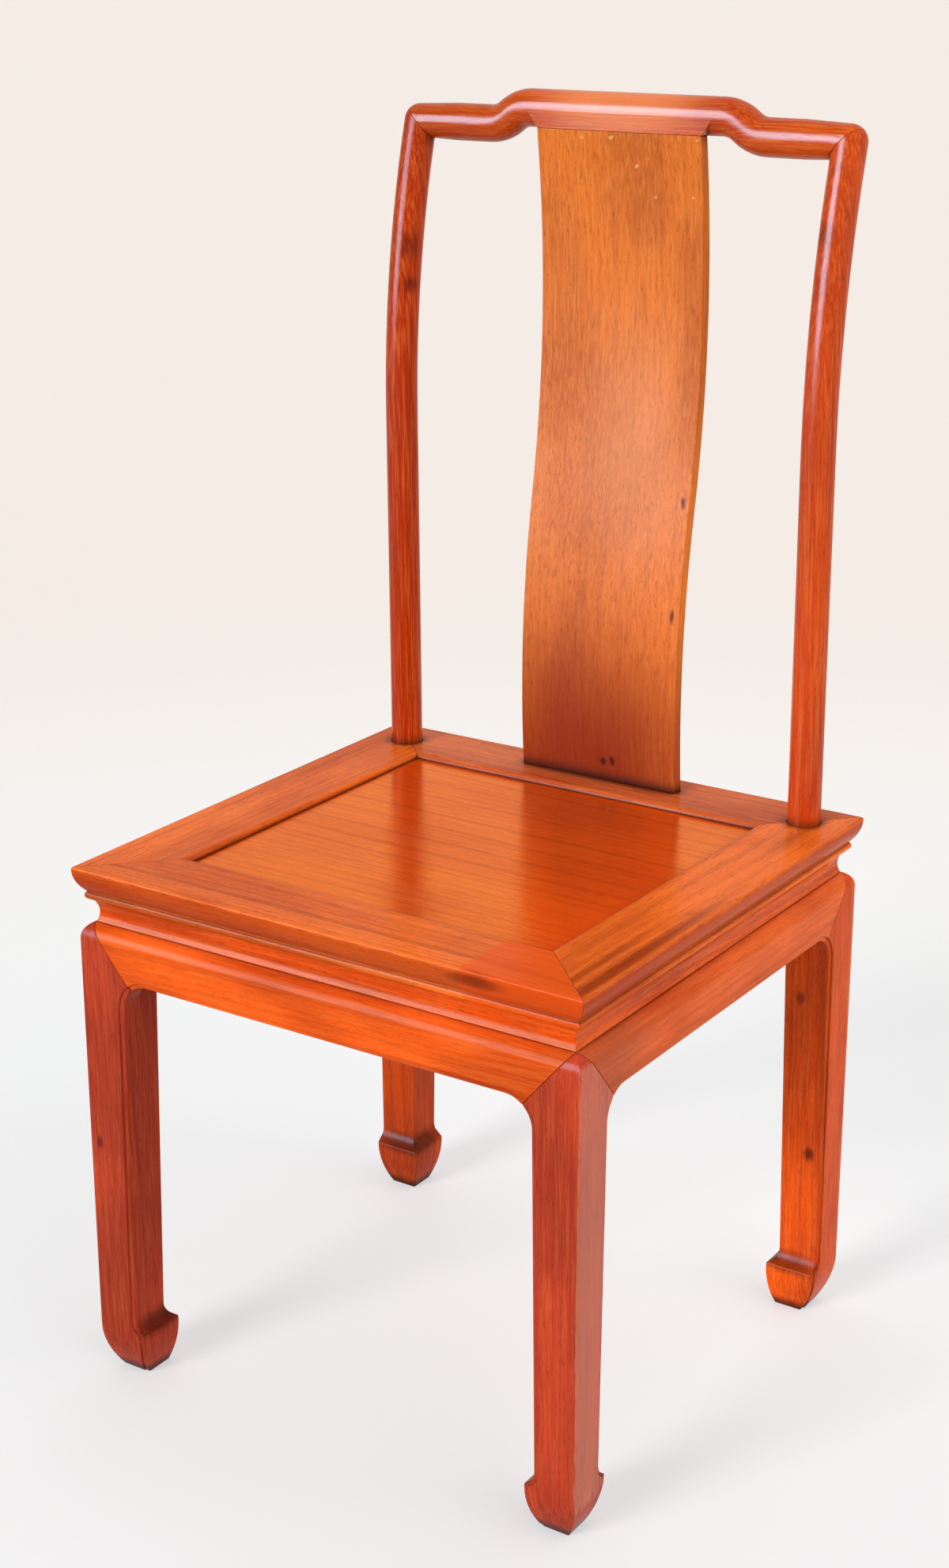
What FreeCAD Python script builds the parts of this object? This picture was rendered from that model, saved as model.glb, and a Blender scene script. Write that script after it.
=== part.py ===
import FreeCAD, Part
import math
import os

# A side chair with a waisted seat, horse-hoof feet and a splat back, in millimetres.
# +Z is up and the chair faces -Y, so right is +X and the back is at +Y.
# Every piece is drawn about the middle of the seat and moved at the end, front to back,
# so that the origin lies on the floor under the middle of the whole chair.

V = FreeCAD.Vector
up = V(0, 0, 1)

# Overall sizes
seat_width = 476.0
seat_depth = 454.0
seat_height = 455.0
back_height = 549.0             # from the seat's top to the axis of the crest rail's ends

# Seat frame: its width, and its edge from the top down as arris, ovolo and bead
frame_width = 67.0
frame_arris = 2.0
ovolo_height = 19.5
ovolo_inset = 8.4
edge_bead_height = 7.2
edge_bead_proud = 1.6
edge_bead_undercut = 2.4
edge_bead_nose_share = 0.36     # how far down the bead its nose lies
inner_round = 4.5               # round of the inner edge, down to the panel

# Seat panel, which floats in a groove, and the battens under it
panel_thick = 11.5
panel_gap = 0.4
groove_depth = 8.0
groove_height = 5.0
groove_drop = 4.2               # from the panel's top to the groove
groove_play = 1.5               # room for the panel to swell
batten_width = 32.0
batten_depth = 12.0
batten_spacing = 170.0
batten_tenon_length = 10.0
batten_tenon_drop = 2.0
batten_tenon_share = 0.65
dovetail_depth = 4.0
dovetail_neck_share = 0.6
dovetail_flare = 1.8

# Joints: play around a tenon, and the tongues in the frame's mitres
joint_gap = 0.15
corner_tongue_thick = 6.5
corner_tongue_drop = 9.0
corner_tongue_stop = 14.0       # wood left outside the tongue's end
corner_tongue_shares = (0.54, 0.82)
leg_tenon_height = 12.0
leg_tenon_shoulder = 2.5
pin_depth = 7.0                 # dovetailed pins on the legs, which hold the aprons
pin_root_share = 0.4
pin_tip_share = 0.58
pin_drop = 5.0

# Waist: a hollow strip between the frame and the aprons
waist_height = 19.0
waist_top_inset = 11.4
waist_hollow_inset = 15.0
waist_foot_inset = 12.9
waist_tongue_thick = 3.6
waist_tongue_height = 3.0

# Aprons, with a round shoulder above and a bead along the arch below
face_inset = 3.2                # of aprons and legs from the seat's edge
apron_height = 43.8
apron_thick = 20.8
shoulder_height = 13.3
arch_radius = 23.5
arch_bead_width = 4.6
arch_bead_drop = 1.4

# Legs, tapered on their inner faces down to the ankle, and hoof feet
leg_width = 42.0
ankle_width = 37.8
hoof_height = 42.0
hoof_tuck = 12.9                # how far the outer faces curve in at the sole
ankle_height = 54.0
toe_height = 41.0
toe_reach = 8.4
toe_bulge = 2.2
sole_reach = 1.6

# Back posts, let into the rear corners of the seat frame
post_dia = 27.9
post_side_share = 0.545         # place of the post in the frame's width, from the side
post_rear_share = 0.578         # and from the rear
post_bend_height = 305.0
post_lean = 3.2                 # forward lean at the bend
crest_sweep = 29.5              # how far the crest rail's ends lie behind the posts' feet
post_housing = 3.0
post_housing_gap = 0.35
post_tenon_length = 11.0
post_tenon_share = 0.62
crest_tenon_length = 10.0
crest_tenon_share = 0.42

# Crest rail, with a hump over the splat and ends that come slightly forward
crest_dia = 31.0
hump_rise = 14.3
hump_run = 40.0
hump_margin = 13.0
crest_bow_angle = 2.4
crest_bow_run = 8.0             # length of the bend at the inner end of each level end
crest_taper_share = 0.6         # of the level ends, over which they narrow to the posts' thickness
landing_flare = 11.0            # the flat above the splat widens upwards by this on each side
landing_lift = 0.8              # of the splat's seat above the rail's lowest line

# Splat
splat_width = 154.0
splat_thick = 11.0
splat_rear_share = 0.5925       # place of its hollow in the frame's width, from the rear
splat_hollow_height = 80.0
splat_belly_height = 407.0
splat_swell = 29.4              # how far the belly lies behind the hollow
splat_tenon_share = 0.6
splat_tenon_shoulder = 8.0
splat_foot_tenon = 12.0
splat_head_tenon = 9.0

overrun = 5.0                   # by which every cutting tool passes what it cuts
quarter_turn = 90.0

# Levels and insets that follow from the sizes above
frame_thick = frame_arris + ovolo_height + edge_bead_height
frame_bottom = seat_height - frame_thick
waist_bottom = frame_bottom - waist_height
apron_bottom = waist_bottom - apron_height
apron_back = face_inset + apron_thick
leg_inner = face_inset + leg_width
panel_top = seat_height - inner_round
panel_bottom = panel_top - panel_thick
groove_top = panel_top - groove_drop
groove_bottom = groove_top - groove_height
stub_inset = apron_back + joint_gap
reach = seat_height + back_height
side_names = ("front", "right", "rear", "left")


def outline(steps, place):
    # A face inside flat points: (u, v) is a straight step to that point,
    # and (mu, mv, u, v) an arc to (u, v) through (mu, mv). The first step also closes the face.
    # place puts a flat point in space.
    edges = []
    here = steps[0][-2:]
    for step in steps[1:] + steps[:1]:
        there = step[-2:]
        if len(step) == 4:
            edges.append(Part.Arc(place(*here), place(*step[:2]), place(*there)).toShape())
        else:
            edges.append(Part.makeLine(place(*here), place(*there)))
        here = there
    return Part.Face(Part.Wire(edges))


def upright_arc(u, v, end_u, end_v):
    # Middle of the arc that stands upright at (u, v) and passes through (end_u, end_v)
    run = end_u - u
    rise = end_v - v
    radius = (run * run + rise * rise) / (2 * abs(run))
    half_angle = math.atan2(abs(rise), radius - abs(run)) / 2
    middle_u = u + math.copysign(radius * (1 - math.cos(half_angle)), run)
    middle_v = v + math.copysign(radius * math.sin(half_angle), rise)
    return (middle_u, middle_v)


def ogee_radius(run, rise):
    # Radius of two equal arcs that make an S with parallel ends
    return (run * run + rise * rise) / (4 * rise)


def box(low, high):
    size = high - low
    return Part.makeBox(size.x, size.y, size.z, low)


def round_face(radius, centre, axis, start):
    # A disc across an axis, whose edge starts on one side of it
    ring = Part.Circle(centre, axis, radius)
    ring.XAxis = start
    return Part.Face(Part.Wire(ring.toShape()))


def side_sizes(turns):
    # Half the length of a side of the seat, and its distance from the middle
    if turns % 2:
        return seat_depth / 2, seat_width / 2
    return seat_width / 2, seat_depth / 2


def turned(shape, turns):
    # Front pieces turned round to the right, rear and left sides
    return shape.rotated(V(), up, turns * quarter_turn)


def run_along(steps, half, edge):
    # A section of inset and height, run along the front from end to end
    face = outline(steps, lambda inset, height: V(-half, inset - edge, height))
    return face.extrude(V(2 * half, 0, 0))


def mitre_prism(half, edge, depth):
    # What lies between the mitre planes at the two ends of the front
    deep = depth + overrun
    corners = [(-half, -edge), (half, -edge), (half - deep, deep - edge), (deep - half, deep - edge)]
    return outline(corners, lambda x, y: V(x, y, 0)).extrude(up * reach)


def end_boxes(half, edge, along, inset, heights):
    # A box at each end of the front, by distance from the end and inset from the edge
    low = V(along[0] - half, inset[0] - edge, heights[0])
    high = V(along[1] - half, inset[1] - edge, heights[1])
    left = box(low, high)
    return [left, left.mirror(V(), V(1, 0, 0))]


def grown(pair, gap):
    return (pair[0] - gap, pair[1] + gap)


# Arch between an apron and a leg, in inset from the side and height: the mitre runs from the
# foot of the waist through the arc's centre
arch_centre = (leg_inner + arch_radius, apron_bottom - arch_radius)
mitre_slope = (waist_bottom - arch_centre[1]) / (arch_centre[0] - waist_foot_inset)
mitre_angle = math.pi - math.atan(mitre_slope)


def arch_point(radius, angle):
    return (arch_centre[0] + radius * math.cos(angle), arch_centre[1] + radius * math.sin(angle))


def mitre_height(inset):
    return waist_bottom - mitre_slope * (inset - waist_foot_inset)


# Leg tenons and the dovetailed pins beside them
leg_tenon = (stub_inset + leg_tenon_shoulder, leg_inner - leg_tenon_shoulder)
stub_width = leg_inner - stub_inset
pin_middle = stub_inset + stub_width / 2


def pin(gap, bottom):
    # A pin that stands out of a leg's stub towards the front, in insets from the corner
    root = stub_width * pin_root_share / 2 + gap
    tip = stub_width * pin_tip_share / 2 + gap
    near = stub_inset - pin_depth - gap
    far = stub_inset + gap + joint_gap
    corners = [
        (pin_middle - root, far),
        (pin_middle + root, far),
        (pin_middle + tip, near),
        (pin_middle - tip, near),
    ]
    top = waist_bottom - pin_drop + gap
    return outline(corners, lambda a, b: V(a, b, bottom)).extrude(up * (top - bottom))


# Back posts: straight with a slight forward lean, then bent back in one long arc
post_x = seat_width / 2 - frame_width * post_side_share
post_y = seat_depth / 2 - frame_width * post_rear_share
post_foot = V(-post_x, post_y, seat_height)
post_bend = V(-post_x, post_y - post_lean, seat_height + post_bend_height)
crest_end = V(-post_x, post_y + crest_sweep, seat_height + back_height)
post_axis = (post_bend - post_foot).normalize()
post_base = post_foot - post_axis * post_housing
bend_chord = crest_end - post_bend
bend_turn = 2 * post_axis.getAngle(bend_chord)
bend_radius = bend_chord.Length / (2 * math.sin(bend_turn / 2))
bend_side = V(0, post_axis.z, -post_axis.y)
post_head_axis = post_axis * math.cos(bend_turn) + bend_side * math.sin(bend_turn)


# Crest rail: level ends that run slightly to the rear, a bend, an ogee and the straight hump
bow = math.radians(crest_bow_angle)
crest_inward = V(math.cos(bow), math.sin(bow), 0)
hump_half = splat_width / 2 + hump_margin
ogee_half = hump_half + hump_run
level_length = (post_x - ogee_half - crest_bow_run) / math.cos(bow)
taper_length = level_length * crest_taper_share
hump_axis_height = seat_height + back_height + hump_rise
hump_back = crest_end.y + level_length * math.sin(bow) + crest_bow_run * math.tan(bow / 2)
crest_radius = crest_dia / 2
post_radius = post_dia / 2

# Splat: two equal arcs, hollow below and bellied above
splat_hollow_y = seat_depth / 2 - frame_width * splat_rear_share
splat_belly_y = splat_hollow_y + splat_swell
splat_run = splat_belly_height - splat_hollow_height
splat_radius = ogee_radius(splat_run, splat_swell)
splat_head = hump_axis_height - crest_radius + landing_lift
splat_half = splat_width / 2


def splat_front(height):
    # Place of the splat's front face at a height above the seat
    if height < splat_hollow_height + splat_run / 2:
        off = height - splat_hollow_height
        return splat_hollow_y + splat_radius - math.sqrt(splat_radius ** 2 - off ** 2)
    off = height - splat_belly_height
    return splat_belly_y - splat_radius + math.sqrt(splat_radius ** 2 - off ** 2)


def splat_tenon(height, low, high, gap):
    # A tenon on the splat's foot or head, or with a gap the mortise for it
    shoulder = splat_thick * (1 - splat_tenon_share) / 2
    front = splat_front(height) + shoulder - gap
    back = front + splat_thick * splat_tenon_share + 2 * gap
    half = splat_half - splat_tenon_shoulder + gap
    return box(V(-half, front, low), V(half, back, high))


def rail_section():
    # Seat rail, by inset from the seat's edge and height
    top = seat_height
    arris_low = top - frame_arris
    ovolo_low = arris_low - ovolo_height
    nose = (ovolo_inset - edge_bead_proud, ovolo_low - edge_bead_height * edge_bead_nose_share)
    waist_groove = grown(waist_tongue, joint_gap)
    waist_groove_top = frame_bottom + waist_tongue_height + joint_gap
    round_low = top - inner_round
    round_inset = frame_width - inner_round
    return [
        (frame_arris, top),
        (*upright_arc(0, arris_low, frame_arris, top), 0, arris_low),
        (*upright_arc(0, arris_low, ovolo_inset, ovolo_low), ovolo_inset, ovolo_low),
        (*nose, ovolo_inset + edge_bead_undercut, frame_bottom),
        (waist_groove[0], frame_bottom),
        (waist_groove[0], waist_groove_top),
        (waist_groove[1], waist_groove_top),
        (waist_groove[1], frame_bottom),
        (frame_width, frame_bottom),
        (frame_width, groove_bottom),
        (frame_width - groove_depth, groove_bottom),
        (frame_width - groove_depth, groove_top),
        (frame_width, groove_top),
        (frame_width, round_low),
        (*upright_arc(frame_width, round_low, round_inset, top), round_inset, top),
    ]


# The tongue on a waist strip lies midway between its hollow and its back
waist_tongue_middle = (waist_hollow_inset + apron_back) / 2
waist_tongue = grown((waist_tongue_middle, waist_tongue_middle), waist_tongue_thick / 2)


def waist_section():
    tongue_top = frame_bottom + waist_tongue_height
    return [
        (waist_top_inset, frame_bottom),
        (waist_hollow_inset, (frame_bottom + waist_bottom) / 2, waist_foot_inset, waist_bottom),
        (apron_back, waist_bottom),
        (apron_back, frame_bottom),
        (waist_tongue[1], frame_bottom),
        (waist_tongue[1], tongue_top),
        (waist_tongue[0], tongue_top),
        (waist_tongue[0], frame_bottom),
    ]


def apron_section():
    shoulder_low = waist_bottom - shoulder_height
    low = apron_bottom - arch_radius
    return [
        (waist_foot_inset, waist_bottom),
        (*upright_arc(face_inset, shoulder_low, waist_foot_inset, waist_bottom), face_inset, shoulder_low),
        (face_inset, low),
        (apron_back + overrun, low),
        (apron_back + overrun, waist_bottom),
    ]


def apron_plate(half, edge, bead, front):
    # An apron's front view, less a bead's width along the arch, from an inset to its back
    radius = arch_radius + bead
    spring = arch_point(radius, mitre_angle)
    middle = arch_point(radius, (mitre_angle + math.pi / 2) / 2)
    crown = arch_point(radius, math.pi / 2)
    steps = [
        (waist_foot_inset - half, waist_bottom),
        (spring[0] - half, spring[1]),
        (middle[0] - half, middle[1], crown[0] - half, crown[1]),
        (half - crown[0], crown[1]),
        (half - middle[0], middle[1], half - spring[0], spring[1]),
        (half - waist_foot_inset, waist_bottom),
    ]
    face = outline(steps, lambda x, height: V(x, front - edge, height))
    return face.extrude(V(0, apron_back - front, 0))


def leg_outline(outer, inner):
    # A leg seen from the front, by inset from the corner and height, with its sides moved
    face = face_inset + outer
    back = leg_inner + inner
    ankle = face_inset + ankle_width + inner
    shoulder_low = waist_bottom - shoulder_height
    shoulder_inset = waist_foot_inset + outer
    sole = ankle + sole_reach
    toe = ankle + toe_reach
    tuck = face + hoof_tuck
    return [
        (*upright_arc(face, hoof_height, tuck, 0), tuck, 0),
        (sole, 0),
        ((sole + toe) / 2 + toe_bulge, toe_height / 2, toe, toe_height),
        (*upright_arc(ankle, ankle_height, toe, toe_height), ankle, ankle_height),
        (back, arch_centre[1]),
        (back, waist_bottom),
        (shoulder_inset, waist_bottom),
        (*upright_arc(face, shoulder_low, shoulder_inset, waist_bottom), face, shoulder_low),
        (face, hoof_height),
    ]


def square_leg(outer, inner):
    # The same outline from the front and from the side, so that every level is square
    span = leg_inner + toe_reach + toe_bulge + overrun
    steps = leg_outline(outer, inner)
    from_front = outline(steps, lambda a, height: V(a, 0, height)).extrude(V(0, span, 0))
    from_side = outline(steps, lambda b, height: V(0, b, height)).extrude(V(span, 0, 0))
    return from_front.common(from_side)


def leg_ear(bead, front):
    # The leg's share of the arch, as thick as the apron that it meets at the mitre
    radius = arch_radius + bead
    root = leg_inner - 2 * arch_bead_width
    foot = arch_point(radius, math.pi)
    middle = arch_point(radius, (mitre_angle + math.pi) / 2)
    spring = arch_point(radius, mitre_angle)
    steps = [
        (root, foot[1]),
        foot,
        (*middle, *spring),
        (root, mitre_height(root)),
    ]
    face = outline(steps, lambda a, height: V(a, front, height))
    return face.extrude(V(0, apron_back - front, 0))


def apron_room():
    # The room above the mitre that the front apron takes out of a leg
    far = arch_centre[0]
    steps = [
        (-overrun, mitre_height(-overrun)),
        (far, mitre_height(far)),
        (far, waist_bottom + overrun + apron_height),
        (-overrun, waist_bottom + overrun + apron_height),
    ]
    face = outline(steps, lambda a, height: V(a, -overrun, height))
    return face.extrude(V(0, stub_inset + overrun, 0))


def swapped(shape):
    # The front face's feature, on the side face
    return shape.mirror(V(), V(1, -1, 0))


def make_leg():
    # Front left leg, with its corner of the seat at the origin
    bead_face = face_inset + arch_bead_drop
    ears = [leg_ear(arch_bead_width, face_inset), leg_ear(0, bead_face)]
    body = square_leg(0, -arch_bead_width).fuse([square_leg(arch_bead_drop, 0)])
    body = body.fuse(ears + [swapped(ear) for ear in ears])
    room = apron_room()
    body = body.cut([room, swapped(room)])
    stub = box(V(stub_inset, stub_inset, apron_bottom), V(leg_inner, leg_inner, frame_bottom))
    tenon_top = frame_bottom + leg_tenon_height
    tenon = box(V(leg_tenon[0], leg_tenon[0], waist_bottom), V(leg_tenon[1], leg_tenon[1], tenon_top))
    pin_bottom = mitre_height(leg_inner)
    front_pin = pin(0, pin_bottom)
    return body.fuse([stub, tenon, front_pin, swapped(front_pin)]).removeSplitter()


def make_rail(turns):
    # Seat rail: long rails carry the tongues at the mitres, and side rails their mortises
    half, edge = side_sizes(turns)
    rail = run_along(rail_section(), half, edge).common(mitre_prism(half, edge, frame_width))
    inset = tuple(frame_width * share for share in corner_tongue_shares)
    along = (corner_tongue_stop, inset[1])
    tongue_top = seat_height - corner_tongue_drop
    heights = (tongue_top - corner_tongue_thick, tongue_top)
    if turns % 2:
        across = (grown(inset, joint_gap), grown(along, joint_gap))
        rail = rail.cut(end_boxes(half, edge, *across, grown(heights, joint_gap)))
    else:
        rail = rail.fuse(end_boxes(half, edge, along, inset, heights))
        rail = rail.cut([batten_tenon(x, edge, joint_gap) for x in batten_places])
    mortise = grown(leg_tenon, joint_gap)
    mortise_heights = (frame_bottom - overrun, frame_bottom + leg_tenon_height + joint_gap)
    rail = rail.cut(end_boxes(half, edge, mortise, mortise, mortise_heights))
    rail = turned(rail, turns).cut(post_sockets())
    if side_names[turns] == "rear":
        low = seat_height - splat_foot_tenon - joint_gap
        rail = rail.cut(splat_tenon(0, low, seat_height + overrun, joint_gap))
    return rail.removeSplitter()


# Battens across the panel's grain
batten_places = (-batten_spacing / 2, batten_spacing / 2)
batten_end = seat_depth / 2 - frame_width
dovetail_neck = batten_width * dovetail_neck_share / 2


def dovetail_steps(x, gap):
    # A batten's dovetail in the panel's underside
    neck = dovetail_neck + gap
    head = neck + dovetail_flare
    top = panel_bottom + dovetail_depth + gap
    return [
        (x - neck, panel_bottom),
        (x - head, top),
        (x + head, top),
        (x + neck, panel_bottom),
    ]


def batten_tenon(x, edge, gap):
    # A batten's tenon in the front rail, or with a gap the mortise for it
    wide = batten_width * batten_tenon_share / 2 + gap
    start = frame_width - batten_tenon_length - gap - edge
    top = panel_bottom - batten_tenon_drop
    low = panel_bottom - batten_depth + batten_tenon_drop
    return box(V(x - wide, start, low - gap), V(x + wide, frame_width + overrun - edge, top + gap))


def make_batten(x):
    half_width = batten_width / 2
    low = panel_bottom - batten_depth
    steps = [(x + half_width, low), (x - half_width, low), (x - half_width, panel_bottom)]
    steps += dovetail_steps(x, 0) + [(x + half_width, panel_bottom)]
    bar = outline(steps, lambda u, height: V(u, -batten_end, height)).extrude(V(0, 2 * batten_end, 0))
    front_tenon = batten_tenon(x, seat_depth / 2, 0)
    return bar.fuse([front_tenon, front_tenon.mirror(V(), V(0, 1, 0))]).removeSplitter()


def make_panel():
    half_x = seat_width / 2 - frame_width - panel_gap
    half_y = seat_depth / 2 - frame_width - panel_gap
    body = box(V(-half_x, -half_y, panel_bottom), V(half_x, half_y, panel_top))
    lip = panel_gap + groove_depth - groove_play
    tongue_low = V(-half_x - lip, -half_y - lip, groove_bottom)
    tongue = box(tongue_low, V(half_x + lip, half_y + lip, groove_top - joint_gap))
    panel = body.fuse([tongue])
    for x in batten_places:
        face = outline(dovetail_steps(x, joint_gap), lambda u, height: V(u, -seat_depth / 2, height))
        panel = panel.cut(face.extrude(V(0, seat_depth, 0)))
    return panel.removeSplitter()


def make_waist(turns):
    half, edge = side_sizes(turns)
    strip = run_along(waist_section(), half, edge).common(mitre_prism(half, edge, apron_back))
    return turned(strip, turns)


def make_apron(turns):
    half, edge = side_sizes(turns)
    plate = apron_plate(half, edge, arch_bead_width, -overrun)
    plate = plate.common(run_along(apron_section(), half, edge))
    bead = apron_plate(half, edge, 0, face_inset + arch_bead_drop)
    shoulder_low = V(-half, -edge, waist_bottom - shoulder_height)
    bead = bead.cut(box(shoulder_low, V(half, edge, waist_bottom + overrun)))
    apron = plate.fuse([bead]).common(mitre_prism(half, edge, apron_back))
    slot = pin(joint_gap, apron_bottom - arch_radius).translated(V(-half, -edge, 0))
    apron = apron.cut([slot, slot.mirror(V(), V(1, 0, 0))])
    return turned(apron.removeSplitter(), turns)


def post_sockets():
    # Housings and tenon holes for the posts, bored along their lean
    housing_radius = post_radius + post_housing_gap
    housing = Part.makeCylinder(housing_radius, post_housing + overrun, post_base, post_axis)
    hole_base = post_base - post_axis * (post_tenon_length + joint_gap)
    hole_radius = post_radius * post_tenon_share + joint_gap
    hole = Part.makeCylinder(hole_radius, post_tenon_length + overrun, hole_base, post_axis)
    left = housing.fuse(hole)
    return [left, left.mirror(V(), V(1, 0, 0))]


# Mitre between post and crest rail, which are equally thick at the corner
crest_mitre = crest_inward + post_head_axis


def round_end(axis):
    # Half a ball past the corner's centre, which rounds the outer corner of the mitre all over
    return Part.makeSphere(post_radius, crest_end, axis, 0, quarter_turn, 4 * quarter_turn)


def make_post():
    # Left post: straight below, bent back above, with a round tenon at each end
    straight = Part.makeCylinder(post_radius, (post_bend - post_base).Length, post_base, post_axis)
    ring = round_face(post_radius, post_bend, post_axis, bend_side)
    centre = post_bend + bend_side * bend_radius
    bend = ring.revolve(centre, post_axis.cross(bend_side), math.degrees(bend_turn))
    mitre = Part.makeCylinder(reach, reach, crest_end, crest_mitre)
    head = bend.fuse([round_end(post_head_axis)]).cut([mitre])
    tenon_base = post_base - post_axis * post_tenon_length
    tenon_radius = post_radius * post_tenon_share
    foot_tenon = Part.makeCylinder(tenon_radius, post_tenon_length + overrun, tenon_base, post_axis)
    return straight.fuse([head, foot_tenon, head_tenon(0)]).removeSplitter()


def head_tenon(gap):
    # The post's tenon in the crest rail, or with a gap the hole for it
    start = crest_end - post_head_axis * crest_tenon_length
    length = 2 * crest_tenon_length + gap
    return Part.makeCylinder(post_radius * crest_tenon_share + gap, length, start, post_head_axis)


def crest_section(centre, axis):
    # The rail's round section, started at its top
    return round_face(crest_radius, centre, axis, up)


def crest_end_piece():
    # The left level end, narrowed to the post's thickness at the corner
    taper = Part.makeCone(post_radius, crest_radius, taper_length, crest_end, crest_inward)
    mitre = Part.makeCylinder(reach, reach, crest_end, crest_mitre * -1)
    taper = taper.fuse([round_end(crest_inward * -1)]).cut([mitre, head_tenon(joint_gap)])
    start = crest_end + crest_inward * taper_length
    return taper.fuse([Part.makeCylinder(crest_radius, level_length - taper_length, start, crest_inward)])


def crest_bend():
    # The left bend between the level end and the ogee, about an upright axis in front of it
    start = crest_end + crest_inward * level_length
    centre = V(-ogee_half, hump_back - crest_bow_run / math.sin(bow), crest_end.z)
    return crest_section(start, crest_inward).revolve(centre, up * -1, crest_bow_angle)


def crest_ogee():
    # The left rise up to the hump, as two equal bends
    radius = ogee_radius(hump_run, hump_rise)
    turn = math.degrees(math.asin(hump_run / 2 / radius))
    along = V(1, 0, 0)
    axis = along.cross(up)
    low = V(-ogee_half, hump_back, crest_end.z)
    high = V(-hump_half, hump_back, hump_axis_height)
    lower = crest_section(low, along).revolve(low + up * radius, axis, turn)
    upper = crest_section(high, along).revolve(high - up * radius, axis, turn)
    return lower.fuse([upper])


def crest_hump():
    # The straight middle of the hump
    start = V(-hump_half, hump_back, hump_axis_height)
    return Part.makeCylinder(crest_radius, 2 * hump_half, start, V(1, 0, 0))


def landing():
    # The flat lower front of the rail over the splat, wider above than below
    front_top = hump_back - crest_radius
    front_low = splat_front(splat_head - seat_height)
    wide = splat_half + landing_flare
    def ring(x_half, front, back, height):
        corners = [(-x_half, front), (x_half, front), (x_half, back), (-x_half, back)]
        return outline(corners, lambda x, y: V(x, y, height)).OuterWire
    low = ring(splat_half, front_low, front_low + splat_thick, splat_head)
    high = ring(wide, front_top, hump_back, hump_axis_height)
    return Part.makeLoft([low, high], True, True)


def make_crest():
    left = [crest_end_piece(), crest_bend(), crest_ogee()]
    right = [shape.mirror(V(), V(1, 0, 0)) for shape in left]
    crest = crest_hump().fuse([landing()]).fuse(left + right)
    head = splat_head - seat_height
    front = splat_front(head)
    low = splat_head - crest_dia
    wide = splat_half + joint_gap
    back = front + splat_thick + joint_gap
    seat = box(V(-wide, front - overrun, low), V(wide, back, splat_head))
    mortise = splat_tenon(head, low, splat_head + splat_head_tenon + joint_gap, joint_gap)
    return crest.cut([seat, mortise]).removeSplitter()


def make_splat():
    middle = splat_hollow_height + splat_run / 2
    head = splat_head - seat_height
    def lean(low, high, push):
        # An arc of the front face between two heights, or of the back face
        between = (low + high) / 2
        return (splat_front(between) + push, between, splat_front(high) + push, high)
    steps = [
        (splat_front(0), 0),
        lean(0, middle, 0),
        lean(middle, head, 0),
        (splat_front(head) + splat_thick, head),
        lean(head, middle, splat_thick),
        lean(middle, 0, splat_thick),
    ]
    face = outline(steps, lambda y, height: V(-splat_half, y, seat_height + height))
    board = face.extrude(V(splat_width, 0, 0))
    bury = splat_thick / 2
    foot = splat_tenon(0, seat_height - splat_foot_tenon, seat_height + bury, 0)
    top = splat_tenon(head, splat_head - bury, splat_head + splat_head_tenon, 0)
    return board.fuse([foot, top]).removeSplitter()


# The chair's middle, front to back, lies between the seat's front edge and the crest rail's back
middle_y = (hump_back + crest_radius - seat_depth / 2) / 2


def save(name, shape):
    placed = shape.translated(V(0, -middle_y, 0))
    print(name, "solids", len(placed.Solids), "valid", placed.isValid(), "volume", round(placed.Volume))
    placed.exportStep("parts/" + name + ".step")


os.makedirs("parts", exist_ok=True)
for turns, side in enumerate(side_names):
    save(side + "_seat_rail", make_rail(turns))
    save(side + "_waist", make_waist(turns))
    save(side + "_apron", make_apron(turns))

leg = make_leg()
leg_names = ("front_left_leg", "front_right_leg", "rear_right_leg", "rear_left_leg")
leg_sides = ((-1, -1), (1, -1), (1, 1), (-1, 1))
for turns, name in enumerate(leg_names):
    side_x, side_y = leg_sides[turns]
    corner = V(side_x * seat_width / 2, side_y * seat_depth / 2, 0)
    save(name, turned(leg, turns).translated(corner))

save("seat_panel", make_panel())
for x, side in zip(batten_places, ("left", "right")):
    save(side + "_panel_batten", make_batten(x))

post = make_post()
save("left_back_post", post)
save("right_back_post", post.mirror(V(), V(1, 0, 0)))
save("crest_rail", make_crest())
save("splat", make_splat())
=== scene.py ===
import bmesh
import bpy
import math
from mathutils import Matrix, Vector


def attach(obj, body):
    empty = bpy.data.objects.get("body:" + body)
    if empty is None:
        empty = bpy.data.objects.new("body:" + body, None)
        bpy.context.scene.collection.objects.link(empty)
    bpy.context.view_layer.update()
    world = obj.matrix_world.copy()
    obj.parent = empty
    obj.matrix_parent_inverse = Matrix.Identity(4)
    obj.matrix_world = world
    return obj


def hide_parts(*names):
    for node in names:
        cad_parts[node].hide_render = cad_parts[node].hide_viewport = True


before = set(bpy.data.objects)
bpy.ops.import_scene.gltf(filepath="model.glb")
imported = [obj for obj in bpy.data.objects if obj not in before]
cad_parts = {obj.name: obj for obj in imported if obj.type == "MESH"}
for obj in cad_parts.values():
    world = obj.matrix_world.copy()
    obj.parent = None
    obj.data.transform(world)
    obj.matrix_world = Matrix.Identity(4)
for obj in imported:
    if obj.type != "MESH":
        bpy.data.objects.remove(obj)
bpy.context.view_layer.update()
print("frame loaded:", len(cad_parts), "pieces of wood")

mm = 0.001


def linear(hexColour):
    # sRGB hex, as read off the object, to the linear values that the shader takes
    shares = [int(hexColour[i:i + 2], 16) / 255 for i in (1, 3, 5)]
    return [s / 12.92 if s <= 0.04045 else ((s + 0.055) / 1.055) ** 2.4 for s in shares] + [1.0]


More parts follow.
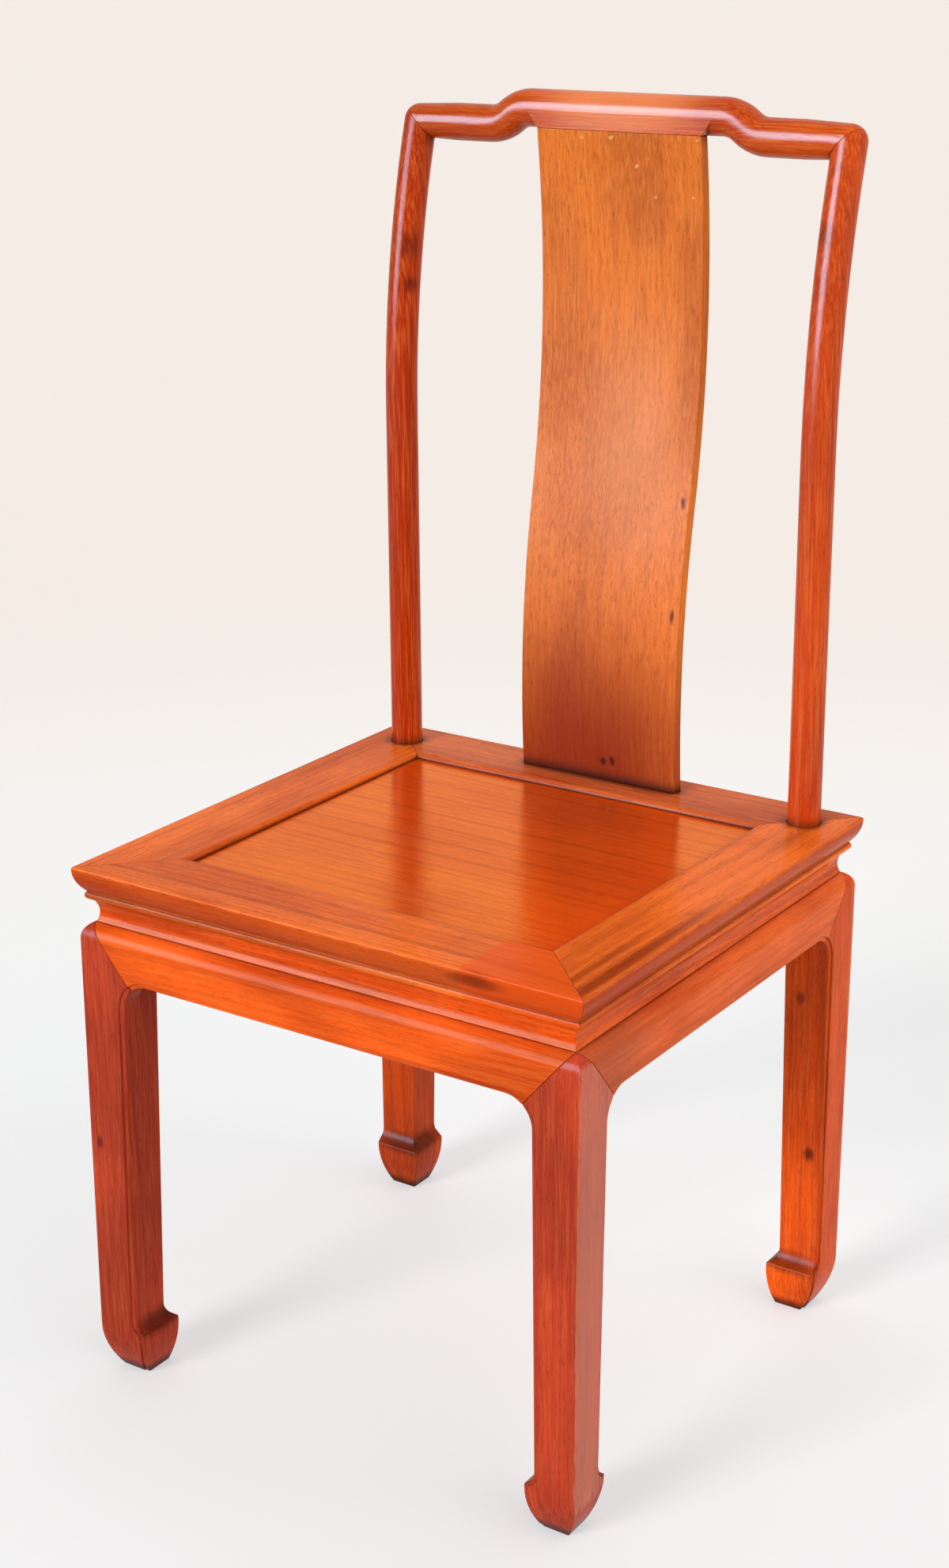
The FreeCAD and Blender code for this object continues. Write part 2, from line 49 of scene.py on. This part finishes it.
def addNode(tree, kind, inputs=None, **settings):
    # inputs holds a value or another node's output for each socket, by name or number
    node = tree.nodes.new(kind)
    for name, value in settings.items():
        setattr(node, name, value)
    for socket, value in (inputs or {}).items():
        if isinstance(value, bpy.types.NodeSocket):
            tree.links.new(value, node.inputs[socket])
        else:
            node.inputs[socket].default_value = value
    return node


def newMaterial(name):
    material = bpy.data.materials.new(name)
    material.use_nodes = True
    material.node_tree.nodes.clear()
    return material, material.node_tree


# The timber of every piece: sizes of its figure in millimetres, across and along the grain
timber = {
    "wander": (60, 330),        # how the rings stray from true circles
    "wanderBy": 10.0,
    "ring": 5.5,                # growth rings, counted outwards from the heart
    "streak": 17.0,             # the few rings with dark heartwood colour
    "fibre": (1.5, 60),         # stripes of lighter fibre
    "fleck": (2.2, 18),         # short dark dashes of parenchyma
    "pore": (1.1, 7.0),         # pores are 0.2 wide, drawn coarse enough to show
    "cloud": (70, 170),         # uneven light-fading and handling
    "ripple": (24, 45),         # hand-planed unevenness under the polish
    "raggedBy": 5.0,            # how far the edges of knots and stains stray
    "poreBump": 0.12,           # how high the fibres stand in the surface
    "poreSink": 0.6,            # and how deep the pores lie, as a share of that
    "rippleBump": 0.3,
    "creaseShadeReach": 12.0,         # how near a corner the painted shade darkens the wood
    "creaseShadeOpen": (0.94, 0.54),  # how open a place is where that starts and where it is full
    "creaseShadeTone": "#34100a",
}
grainTurns = {"x": (0, 0, 0), "y": (0, 0, math.pi / 2), "z": (0, math.pi / 2, 0)}


def makeRosewood(name, look):
    # Padauk rosewood, planed, oiled and waxed to a gloss: orange-red ground, darker rings and
    # heartwood streaks along the grain, short dark pores, lighter fibres and a thin film of wax
    material, tree = newMaterial(name)
    place = addNode(tree, "ShaderNodeTexCoord").outputs["Object"]
    fromHeart = addNode(tree, "ShaderNodeVectorMath", {
        0: place, 1: [length * mm for length in look["heart"]],
    }, operation="SUBTRACT").outputs["Vector"]
    grain = addNode(tree, "ShaderNodeMapping", {
        "Vector": fromHeart, "Rotation": Vector(grainTurns[look["grain"]]) + Vector(look["tilt"]),
    }).outputs["Vector"]

    figure = {}
    for pattern in ("wander", "fibre", "fleck", "pore", "cloud", "ripple"):
        across, along = timber[pattern]
        scaled = addNode(tree, "ShaderNodeMapping", {
            "Vector": grain, "Scale": (1 / (along * mm), 1 / (across * mm), 1 / (across * mm)),
        })
        figure[pattern] = addNode(tree, "ShaderNodeTexNoise", {
            "Vector": scaled.outputs["Vector"], "Scale": 1.0, "Detail": 2.0, "Roughness": 0.5,
        }).outputs

    stray = addNode(tree, "ShaderNodeVectorMath", {
        0: figure["wander"]["Color"], 1: (0.5, 0.5, 0.5),
    }, operation="SUBTRACT").outputs["Vector"]
    wanderBy = timber["wanderBy"] * mm
    bent = addNode(tree, "ShaderNodeVectorMath", {
        0: stray, 1: (0, wanderBy, wanderBy), 2: grain,
    }, operation="MULTIPLY_ADD").outputs["Vector"]
    crosswise = addNode(tree, "ShaderNodeVectorMath", {
        0: bent, 1: (0, 1, 1),
    }, operation="MULTIPLY").outputs["Vector"]
    radius = addNode(tree, "ShaderNodeVectorMath", {0: crosswise}, operation="LENGTH").outputs["Value"]
    for pattern in ("ring", "streak"):
        count = addNode(tree, "ShaderNodeMath", {
            0: radius, 1: timber[pattern] * mm,
        }, operation="DIVIDE").outputs["Value"]
        figure[pattern] = addNode(tree, "ShaderNodeTexNoise", {
            "W": count, "Scale": 1.0, "Detail": 3.0, "Roughness": 0.6,
        }, noise_dimensions="1D").outputs

    masks = {}
    for pattern, (low, high) in look["spread"].items():
        masks[pattern] = addNode(tree, "ShaderNodeMapRange", {
            "Value": figure[pattern]["Fac"], "From Min": low, "From Max": high,
        }, interpolation_type="SMOOTHSTEP").outputs["Result"]

    colour = linear(look["ground"])
    for pattern, (tone, share) in look["tones"].items():
        amount = addNode(tree, "ShaderNodeMath", {
            0: masks[pattern], 1: share,
        }, operation="MULTIPLY").outputs["Value"]
        colour = addNode(tree, "ShaderNodeMix", {
            0: amount, 6: colour, 7: linear(tone),
        }, data_type="RGBA").outputs[2]
    ragged = addNode(tree, "ShaderNodeVectorMath", {
        0: figure["fleck"]["Color"], 1: (timber["raggedBy"] * mm,) * 3, 2: place,
    }, operation="MULTIPLY_ADD").outputs["Vector"]
    for mark in look["marks"]:
        middle = [at + timber["raggedBy"] / 2 for at in mark["at"]]
        inMark = addNode(tree, "ShaderNodeMapping", {
            "Vector": ragged,
            "Location": [-at / size for at, size in zip(middle, mark["size"])],
            "Scale": [1 / (size * mm) for size in mark["size"]],
        }).outputs["Vector"]
        away = addNode(tree, "ShaderNodeVectorMath", {0: inMark}, operation="LENGTH").outputs["Value"]
        amount = addNode(tree, "ShaderNodeMapRange", {
            "Value": away, "From Min": 1.0, "From Max": mark["core"], "To Max": mark["share"],
        }, interpolation_type="SMOOTHSTEP").outputs["Result"]
        colour = addNode(tree, "ShaderNodeMix", {
            0: amount, 6: colour, 7: linear(mark["tone"]),
        }, data_type="RGBA").outputs[2]

    # Painted shade: the wood is painted darker in corners and creases, the more closed in a place is
    openness = addNode(tree, "ShaderNodeAmbientOcclusion", {
        "Distance": timber["creaseShadeReach"] * mm,
    }, samples=8).outputs["AO"]
    creaseShadeStart, creaseShadeFull = timber["creaseShadeOpen"]
    creaseShade = addNode(tree, "ShaderNodeMapRange", {
        "Value": openness, "From Min": creaseShadeStart, "From Max": creaseShadeFull, "To Max": look["creaseShade"],
    }).outputs["Result"]
    colour = addNode(tree, "ShaderNodeMix", {
        0: creaseShade, 6: colour, 7: linear(timber["creaseShadeTone"]),
    }, data_type="RGBA").outputs[2]

    height = addNode(tree, "ShaderNodeMath", {
        0: masks["pore"], 1: -timber["poreSink"], 2: masks["fibre"],
    }, operation="MULTIPLY_ADD").outputs["Value"]
    pores = addNode(tree, "ShaderNodeBump", {
        "Height": height, "Strength": look["poreDepth"], "Distance": timber["poreBump"] * mm,
    }).outputs["Normal"]
    waves = addNode(tree, "ShaderNodeBump", {
        "Height": figure["ripple"]["Fac"], "Strength": look["rippleDepth"],
        "Distance": timber["rippleBump"] * mm, "Normal": pores,
    }).outputs["Normal"]
    dullness = addNode(tree, "ShaderNodeMapRange", {
        "Value": masks["cloud"], "To Min": look["gloss"][0], "To Max": look["gloss"][1],
    }).outputs["Result"]
    shader = addNode(tree, "ShaderNodeBsdfPrincipled", {
        "Base Color": colour, "Roughness": dullness, "Normal": waves, "IOR": 1.5,
        "Metallic": look["glow"], "Specular IOR Level": look["shine"],
        "Specular Tint": linear(look["film"]),
    })
    addNode(tree, "ShaderNodeOutputMaterial", {"Surface": shader.outputs["BSDF"]})
    return material


# Bead along the arches: how far its flat lies behind the seat's edge, and its span of heights, in mm
bead = {"inset": 4.6, "low": 43.0, "high": 372.0, "slack": 0.1, "segments": 4}
# How the copies are cleaned: millimetres and degrees
planing = {"weld": 0.02, "flat": 0.4, "sharp": 32, "smooth": 40, "arrisSegments": 3}
seatHalf = max(corner.co.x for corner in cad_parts["right_seat_rail"].data.vertices) / mm
seatFront = min(corner.co.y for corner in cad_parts["front_seat_rail"].data.vertices) / mm
seatRear = max(corner.co.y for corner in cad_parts["rear_seat_rail"].data.vertices) / mm


def isBeadArris(edge):
    # The bead's free edge: sharp, convex and on the bead's flat
    if not edge.is_manifold or not edge.is_convex:
        return False
    if edge.calc_face_angle() < math.radians(planing["sharp"]):
        return False
    ends = [corner.co / mm for corner in edge.verts]
    if min(end.z for end in ends) < bead["low"] or max(end.z for end in ends) > bead["high"]:
        return False
    sides = [max(abs(abs(end.x) - seatHalf + bead["inset"]) for end in ends)]
    sides += [max(abs(end.y - seatFront - bead["inset"]) for end in ends)]
    sides += [max(abs(seatRear - end.y - bead["inset"]) for end in ends)]
    return min(sides) < bead["slack"]


def softenedCopy(nodeName, look):
    # A copy of the sawn piece, welded, with its flats made whole and its arrises eased
    piece = bpy.data.objects.new(nodeName + "_finished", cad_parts[nodeName].data.copy())
    bpy.context.scene.collection.objects.link(piece)
    bpy.ops.object.select_all(action="DESELECT")
    piece.select_set(True)
    bpy.context.view_layer.objects.active = piece
    bpy.ops.mesh.customdata_custom_splitnormals_clear()
    bpy.ops.object.mode_set(mode="EDIT")
    bpy.ops.mesh.select_all(action="SELECT")
    bpy.ops.mesh.remove_doubles(threshold=planing["weld"] * mm)
    bpy.ops.mesh.dissolve_limited(angle_limit=math.radians(planing["flat"]))
    if look["beadRound"]:
        bpy.ops.mesh.select_mode(type="EDGE")
        bpy.ops.mesh.select_all(action="DESELECT")
        shape = bmesh.from_edit_mesh(piece.data)
        for edge in shape.edges:
            edge.select_set(isBeadArris(edge))
        bmesh.update_edit_mesh(piece.data)
        bpy.ops.mesh.bevel(offset=look["beadRound"] * mm, segments=bead["segments"], affect="EDGES")
    bpy.ops.object.mode_set(mode="OBJECT")
    bevel = piece.modifiers.new("arris", "BEVEL")
    bevel.width = look["arris"] * mm
    bevel.segments = planing["arrisSegments"]
    bevel.limit_method = "ANGLE"
    bevel.angle_limit = math.radians(planing["sharp"])
    bevel.use_clamp_overlap = False
    bpy.ops.object.modifier_apply(modifier="arris")
    bpy.ops.object.shade_smooth_by_angle(angle=math.radians(planing["smooth"]))
    flats = piece.modifiers.new("flats", "WEIGHTED_NORMAL")
    flats.keep_sharp = True
    bpy.ops.object.modifier_apply(modifier="flats")
    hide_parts(nodeName)
    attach(piece, "root")
    return piece


def finishPiece(nodeName, look, slot="polished_rosewood", **own):
    # own holds what this piece has otherwise than its look says
    look = {**look, **own}
    piece = softenedCopy(nodeName, look)
    piece.data.materials.clear()
    piece.data.materials.append(makeRosewood(slot + "_" + nodeName, look))
    print("finished:", nodeName, len(piece.data.polygons), "faces")


# What all pieces share; the looks below change it. A mark is a knot, a stain or a worn place: its
# middle and half its size in millimetres, the share of it that is full, its tone and its strength
plainWood = {
    "grain": "x", "tilt": (0.0, 0.012, 0.02),   # which way it runs, and how it leans, in radians
    "marks": (), "arris": 0.5, "beadRound": 0.0,
    "tones": {
        "cloud": ("#a82e0a", 0.6),
        "fibre": ("#ff9448", 0.25),
        "ring": ("#8c280c", 0.3),
        "fleck": ("#7c220c", 0.2),
        "streak": ("#5c180a", 0.3),
        "pore": ("#4c140a", 0.3),
    },
    "spread": {
        "cloud": (0.35, 0.65), "fibre": (0.42, 0.66), "ring": (0.4, 0.75), "fleck": (0.5, 0.68),
        "streak": (0.58, 0.78), "pore": (0.58, 0.7),
    },
    "poreDepth": 0.2, "rippleDepth": 0.3, "creaseShade": 0.85,
    "gloss": (0.2, 0.3),        # roughness where the wood is clean, and where it is clouded
    "glow": 0.0,                # share of light that the fibres throw back in their own colour
    "shine": 0.06, "film": "#ffffff",   # the wax: how much it reflects, and in what colour
}

railWood = {
    **plainWood, "ground": "#ff7a26", "shine": 0.04,
    "tones": {**plainWood["tones"], "cloud": ("#a82e0a", 0.5)},
}
# The moulded edge, painted darker and redder: painted shade on it
railEdgeShade = {"core": 0.7, "tone": "#a42806", "share": 0.6}
finishPiece("front_seat_rail", railWood, heart=(0, -420, 300), marks=(
    {**railEdgeShade, "at": (0, -233, 442), "size": (900, 13, 13)},
    # Redder wood at the right end, and a stain beside it
    {"at": (186, -200, 450), "size": (56, 600, 600), "core": 0.9, "tone": "#ee540a", "share": 0.6},
    {"at": (146, -230, 447), "size": (34, 22, 9), "core": 0.2, "tone": "#5c180a", "share": 0.7},
))
# The rear rail's ground is painted darker: painted shade of the splat
finishPiece("rear_seat_rail", railWood, heart=(300, 360, 160), ground="#e0703a", marks=(
    {**railEdgeShade, "at": (0, 224, 442), "size": (900, 13, 13)},
))
finishPiece("left_seat_rail", railWood, grain="y", heart=(-460, 0, 280), marks=(
    {**railEdgeShade, "at": (-240, 0, 442), "size": (13, 900, 13)},
))
# Dark heartwood along the right rail, and painted shade beside the right post
heartwoodAndShade = {"core": 0.2, "tone": "#7a2008"}
finishPiece("right_seat_rail", railWood, grain="y", heart=(50, 0, 200), marks=(
    {**railEdgeShade, "at": (240, 0, 442), "size": (13, 900, 13)},
    {**heartwoodAndShade, "at": (229, -160, 455), "size": (9, 230, 20), "share": 0.7},
    {**heartwoodAndShade, "at": (213, -190, 455), "size": (6, 170, 20), "share": 0.6},
    # Painted shade of the right post, at the rail's rear end
    {**heartwoodAndShade, "at": (212, 160, 455), "size": (14, 110, 14), "core": 0.1, "share": 0.4},
))

panelWood = {
    **plainWood, "ground": "#ff7c14", "glow": 0.75, "shine": 0.01, "gloss": (0.15, 0.22),
    "film": "#ffeee0",
    "tones": {
        **plainWood["tones"], "cloud": ("#d04c10", 0.3), "ring": ("#b03c10", 0.3),
        "fleck": ("#9c3c10", 0.15), "streak": ("#8a2c0c", 0.25), "pore": ("#7c280c", 0.2),
    },
}
finishPiece("seat_panel", panelWood, heart=(0, -350, 200))

waistWood = {
    **plainWood, "ground": "#f65808", "arris": 0.4, "creaseShade": 0.5,
    "shine": 0.09, "film": "#ffd4a4", "gloss": (0.18, 0.24),
}
finishPiece("front_waist", waistWood, heart=(0, -100, 470))
finishPiece("rear_waist", waistWood, heart=(200, 120, 470))
finishPiece("left_waist", waistWood, grain="y", heart=(-120, 0, 460))
finishPiece("right_waist", waistWood, grain="y", heart=(110, 100, 480), ground="#ee6426")

apronWood = {
    **plainWood, "ground": "#ff661e", "arris": 0.6, "beadRound": 1.8, "film": "#ffd4a4", "creaseShade": 0.75,
    "tones": {
        **plainWood["tones"], "fibre": ("#ff9448", 0.2), "ring": ("#a4380c", 0.25),
        "fleck": ("#9c340c", 0.16), "streak": ("#7a240a", 0.2), "pore": ("#6a1c0a", 0.2),
    },
}
finishPiece("front_apron", apronWood, heart=(0, -80, 180))
finishPiece("rear_apron", apronWood, heart=(50, 110, 170))
finishPiece("left_apron", apronWood, grain="y", heart=(-90, 0, 190))
finishPiece("right_apron", apronWood, grain="y", heart=(100, 30, 150), ground="#f46c2c", marks=(
    # Darker and duller near the corner, on the apron's top: painted shade
    {"at": (232, -190, 390), "size": (40, 90, 60), "core": 0.2, "tone": "#a0543c", "share": 0.5},
))

# The ground and cloud tone are greyed a little: partly the wood's colour, partly a painted sheen of
# the pale floor
legWood = {
    **plainWood, "grain": "z", "arris": 0.8, "beadRound": 1.8, "ground": "#c8452a",
    "gloss": (0.26, 0.36),
    "tones": {
        **plainWood["tones"], "cloud": ("#8a2a18", 0.7), "fibre": ("#ff8848", 0.14),
        "ring": ("#76200c", 0.26), "streak": ("#54140a", 0.36),
    },
}
# The two ledges inside a hoof: how far out the first one and the middle of the second lie, how
# high they are, and the same from front to rear
hoofLedge = {
    "across": (191, 209), "front": (-205, -188), "rear": (193, 175), "height": 46,
    "length": 36, "reach": 14,
}


def hoofLedgeDustAndShade(side, end):
    # Painted shade on both ledges, together with old dust and wax
    dustAndShade = {"core": 0.3, "tone": "#42180a", "share": 0.7}
    length, reach, height = (hoofLedge[name] for name in ("length", "reach", "height"))
    first, second = zip(hoofLedge["across"], hoofLedge[end])
    return (
        {**dustAndShade, "at": (side * first[0], first[1], height), "size": (reach, length, reach)},
        {**dustAndShade, "at": (side * second[0], second[1], height), "size": (length, reach, reach)},
    )


finishPiece("front_left_leg", legWood, heart=(-150, -150, 0), marks=(
    *hoofLedgeDustAndShade(-1, "front"),
    {"at": (-225, -228, 214), "size": (5, 9, 8), "core": 0.2, "tone": "#4a120a", "share": 0.7},
))
finishPiece("front_right_leg", legWood, heart=(140, -170, 100), marks=(
    *hoofLedgeDustAndShade(1, "front"),
    # The right face, painted pale and greyish: a painted sheen
    {"at": (238, -205, 200), "size": (5.5, 90, 460), "core": 0.7, "tone": "#d49480", "share": 0.4},
))
# A brighter ground and plain tones: painted light, to lift the shade under the seat on this leg
rearRightWood = {**legWood, "ground": "#ff6012", "tones": plainWood["tones"]}
finishPiece("rear_right_leg", rearRightWood, heart=(130, 260, 200), marks=(
    *hoofLedgeDustAndShade(1, "rear"),
    {"at": (222, 180, 154), "size": (7, 14, 10), "core": 0.2, "tone": "#44100a", "share": 0.8},
    {"at": (209, 178, 299), "size": (6, 12, 9), "core": 0.2, "tone": "#5a160a", "share": 0.6},
))
rearLeftWood = {**legWood, "ground": "#cc4806"}
finishPiece("rear_left_leg", rearLeftWood, heart=(-160, 120, 300), marks=hoofLedgeDustAndShade(-1, "rear"))

postWood = {
    **plainWood, "grain": "z", "arris": 0.4, "ground": "#b83a04", "shine": 0.16, "creaseShade": 0.6,
    "gloss": (0.2, 0.26),
}
finishPiece("left_back_post", postWood, heart=(-210, 20, 500), ground="#b43604", shine=0.1, marks=(
    {"at": (-192, 181, 902), "size": (16, 16, 18), "core": 0.2, "tone": "#4c140a", "share": 0.5},
    {"at": (-190, 179, 869), "size": (7, 14, 10), "core": 0.2, "tone": "#44100a", "share": 0.6},
))
finishPiece("right_back_post", postWood, heart=(205, 330, 700), ground="#d24c10", marks=(
    {"at": (196, 184, 935), "size": (16, 16, 14), "core": 0.2, "tone": "#5a180a", "share": 0.45},
))

crestWood = {**postWood, "grain": "x", "ground": "#d2540c", "shine": 0.18}
finishPiece("crest_rail", crestWood, heart=(0, 60, 900), marks=(
    # Darker at the left end: painted shade; lighter on the hump: a painted highlight
    {"at": (-165, 210, 1010), "size": (100, 90, 60), "core": 0.3, "tone": "#8a2a04", "share": 0.35},
    {"at": (0, 210, 1030), "size": (100, 90, 50), "core": 0.3, "tone": "#f89862", "share": 0.6},
))

splatWood = {
    **plainWood, "grain": "z", "arris": 0.8, "ground": "#e67e2a", "gloss": (0.38, 0.48),
    "tones": {
        **plainWood["tones"], "cloud": ("#ac4c12", 0.5), "fibre": ("#f49c4c", 0.3),
        "ring": ("#9a3a10", 0.16), "fleck": ("#742408", 0.24), "streak": ("#7a280c", 0.12),
    },
}
# Where small chips have left bare wood, across and up
splatChips = ((-34, 998), (-6, 999), (74, 1000), (17, 977), (34, 953), (68, 955))
bareWood = {"size": (2.4, 14, 1.8), "core": 0.4, "tone": "#e8b078", "share": 0.85}
footKnot = {"size": (4, 12, 6), "core": 0.3, "tone": "#380e08", "share": 0.85}
edgeKnot = {"core": 0.3, "tone": "#4a120a", "share": 0.8}
finishPiece("splat", splatWood, heart=(-400, 190, 700), marks=(
    *({**bareWood, "at": (across, 203, up)} for across, up in splatChips),
    # Darker at the foot: darker wood there, and painted shade; paler in the middle: a painted sheen
    {"at": (-20, 186, 440), "size": (170, 90, 220), "core": 0.2, "tone": "#801e04", "share": 0.88},
    {"at": (15, 195, 750), "size": (80, 60, 150), "core": 0.0, "tone": "#f6ae80", "share": 0.35},
    {**footKnot, "at": (6, 185, 472)},
    {**footKnot, "at": (15, 185, 474)},
    {**edgeKnot, "at": (71, 199, 706), "size": (3, 12, 7)},
    {**edgeKnot, "at": (70, 186, 611), "size": (3, 12, 9)},
))

battenWood = {**plainWood, "grain": "y", "arris": 0.6, "ground": "#c07040", "gloss": (0.6, 0.7)}
finishPiece("left_panel_batten", battenWood, "bare_rosewood", heart=(-120, 0, 380))
finishPiece("right_panel_batten", battenWood, "bare_rosewood", heart=(60, 0, 390))

studio = {
    "floor": "#eef2f5",
    "wall": "#ebe6e2",          # the backdrop, into which the floor runs out
    "sweep": (0.6, 2.6),        # metres from the chair over which it does
    "lift": 0.51,               # what the lens sees more of the floor than its light gives
    "dim": 0.6,                 # share of its colour that the floor throws back at the wood
    "seen": 1.08,               # brightness of the backdrop to the lens
    "roomLight": 0.25,          # from the room in front of the chair
    "wallLight": 1.05,          # and from the white walls behind it
    "turnOver": (-0.4, 0.4),    # where, from front to rear, the one gives way to the other
    "floorSize": 120,
}
# Suns, turned in degrees to the right of the chair's front and up. The second lights nothing: it
# only shows in the polish, as a window does
lamps = {
    "windowLight": {"turn": -15, "height": 22, "spread": 24, "power": 2.2, "colour": "#fffaf4"},
    "windowImage": {"turn": -30, "height": 13, "spread": 36, "power": 11.0, "colour": "#b4e2ff"},
    "wallLight": {"turn": 80, "height": 15, "spread": 70, "power": 1.8, "colour": "#fff6ec"},
}


def makeFloor():
    # Matt off-white paint, so that only soft shadows show on it
    material, tree = newMaterial("matt_off_white_paint")
    place = addNode(tree, "ShaderNodeTexCoord").outputs["Object"]
    away = addNode(tree, "ShaderNodeVectorMath", {0: place}, operation="LENGTH").outputs["Value"]
    share = addNode(tree, "ShaderNodeMapRange", {
        "Value": away, "From Min": studio["sweep"][0], "From Max": studio["sweep"][1],
    }, interpolation_type="SMOOTHSTEP").outputs["Result"]
    colour = addNode(tree, "ShaderNodeMix", {
        0: share, 6: linear(studio["floor"]), 7: linear(studio["wall"]),
    }, data_type="RGBA").outputs[2]
    thrown = addNode(tree, "ShaderNodeMix", {
        0: studio["dim"], 6: linear("#000000"), 7: colour,
    }, data_type="RGBA").outputs[2]
    rays = addNode(tree, "ShaderNodeLightPath").outputs
    seen = addNode(tree, "ShaderNodeMath", {
        0: rays["Is Camera Ray"], 1: rays["Is Glossy Ray"],
    }, operation="MAXIMUM").outputs["Value"]
    lift = addNode(tree, "ShaderNodeMath", {
        0: seen, 1: studio["lift"],
    }, operation="MULTIPLY").outputs["Value"]
    shader = addNode(tree, "ShaderNodeBsdfPrincipled", {
        "Base Color": thrown, "Roughness": 0.9, "Specular IOR Level": 0.0,
        "Emission Color": colour, "Emission Strength": lift,
    })
    addNode(tree, "ShaderNodeOutputMaterial", {"Surface": shader.outputs["BSDF"]})
    bpy.ops.object.select_all(action="DESELECT")
    bpy.ops.mesh.primitive_plane_add(size=studio["floorSize"], location=(0, 0, 0))
    floor = bpy.context.active_object
    floor.name = "floor"
    floor.data.materials.append(material)


def makeWorld():
    # A dim room in front of the chair and white walls behind it
    world = bpy.data.worlds.new("studio")
    bpy.context.scene.world = world
    world.use_nodes = True
    tree = world.node_tree
    tree.nodes.clear()
    direction = addNode(tree, "ShaderNodeTexCoord").outputs["Generated"]
    rearward = addNode(tree, "ShaderNodeSeparateXYZ", {"Vector": direction}).outputs["Y"]
    light = addNode(tree, "ShaderNodeMapRange", {
        "Value": rearward, "From Min": studio["turnOver"][0], "From Max": studio["turnOver"][1],
        "To Min": studio["roomLight"], "To Max": studio["wallLight"],
    }, interpolation_type="SMOOTHSTEP").outputs["Result"]
    strength = addNode(tree, "ShaderNodeMapRange", {
        "Value": addNode(tree, "ShaderNodeLightPath").outputs["Is Camera Ray"],
        "To Min": light, "To Max": studio["seen"],
    }).outputs["Result"]
    back = addNode(tree, "ShaderNodeBackground", {
        "Color": linear(studio["wall"]), "Strength": strength,
    })
    addNode(tree, "ShaderNodeOutputWorld", {"Surface": back.outputs["Background"]})


def makeLamp(name):
    lamp = lamps[name]
    turn, height = (math.radians(lamp[angle]) for angle in ("turn", "height"))
    toLamp = Vector((
        math.sin(turn) * math.cos(height), -math.cos(turn) * math.cos(height), math.sin(height),
    ))
    bpy.ops.object.light_add(type="SUN", location=toLamp)
    light = bpy.context.active_object
    light.name = name
    light.rotation_euler = toLamp.to_track_quat("Z", "Y").to_euler()
    light.data.angle = math.radians(lamp["spread"])
    light.data.energy = lamp["power"]
    light.data.color = linear(lamp["colour"])[:3]
    light.visible_diffuse = name != "windowImage"
    light.visible_glossy = name == "windowImage"


viewpoint = {
    "place": (1.06952, -1.62499, 1.17325),
    "azimuth": 33.5,
    "elevation": 19.01,
    "roll": -0.05,
    "focalPixels": 3205.72,
    "imageHeight": 1982,
}


def makeCamera():
    azimuth, elevation = (math.radians(viewpoint[name]) for name in ("azimuth", "elevation"))
    back = Vector((
        math.sin(azimuth) * math.cos(elevation),
        -math.cos(azimuth) * math.cos(elevation),
        math.sin(elevation),
    ))
    turn = (-back).to_track_quat("-Z", "Y").to_matrix()
    turn = turn @ Matrix.Rotation(math.radians(viewpoint["roll"]), 3, "Z")
    data = bpy.data.cameras.new("camera")
    data.sensor_fit = "AUTO"
    data.lens = viewpoint["focalPixels"] / viewpoint["imageHeight"] * data.sensor_width
    camera = bpy.data.objects.new("camera", data)
    bpy.context.scene.collection.objects.link(camera)
    camera.location = viewpoint["place"]
    camera.rotation_euler = turn.to_euler()
    bpy.context.scene.camera = camera


makeFloor()
makeWorld()
for lampName in lamps:
    makeLamp(lampName)
makeCamera()
bpy.context.scene.view_settings.view_transform = "Standard"
print("studio ready")
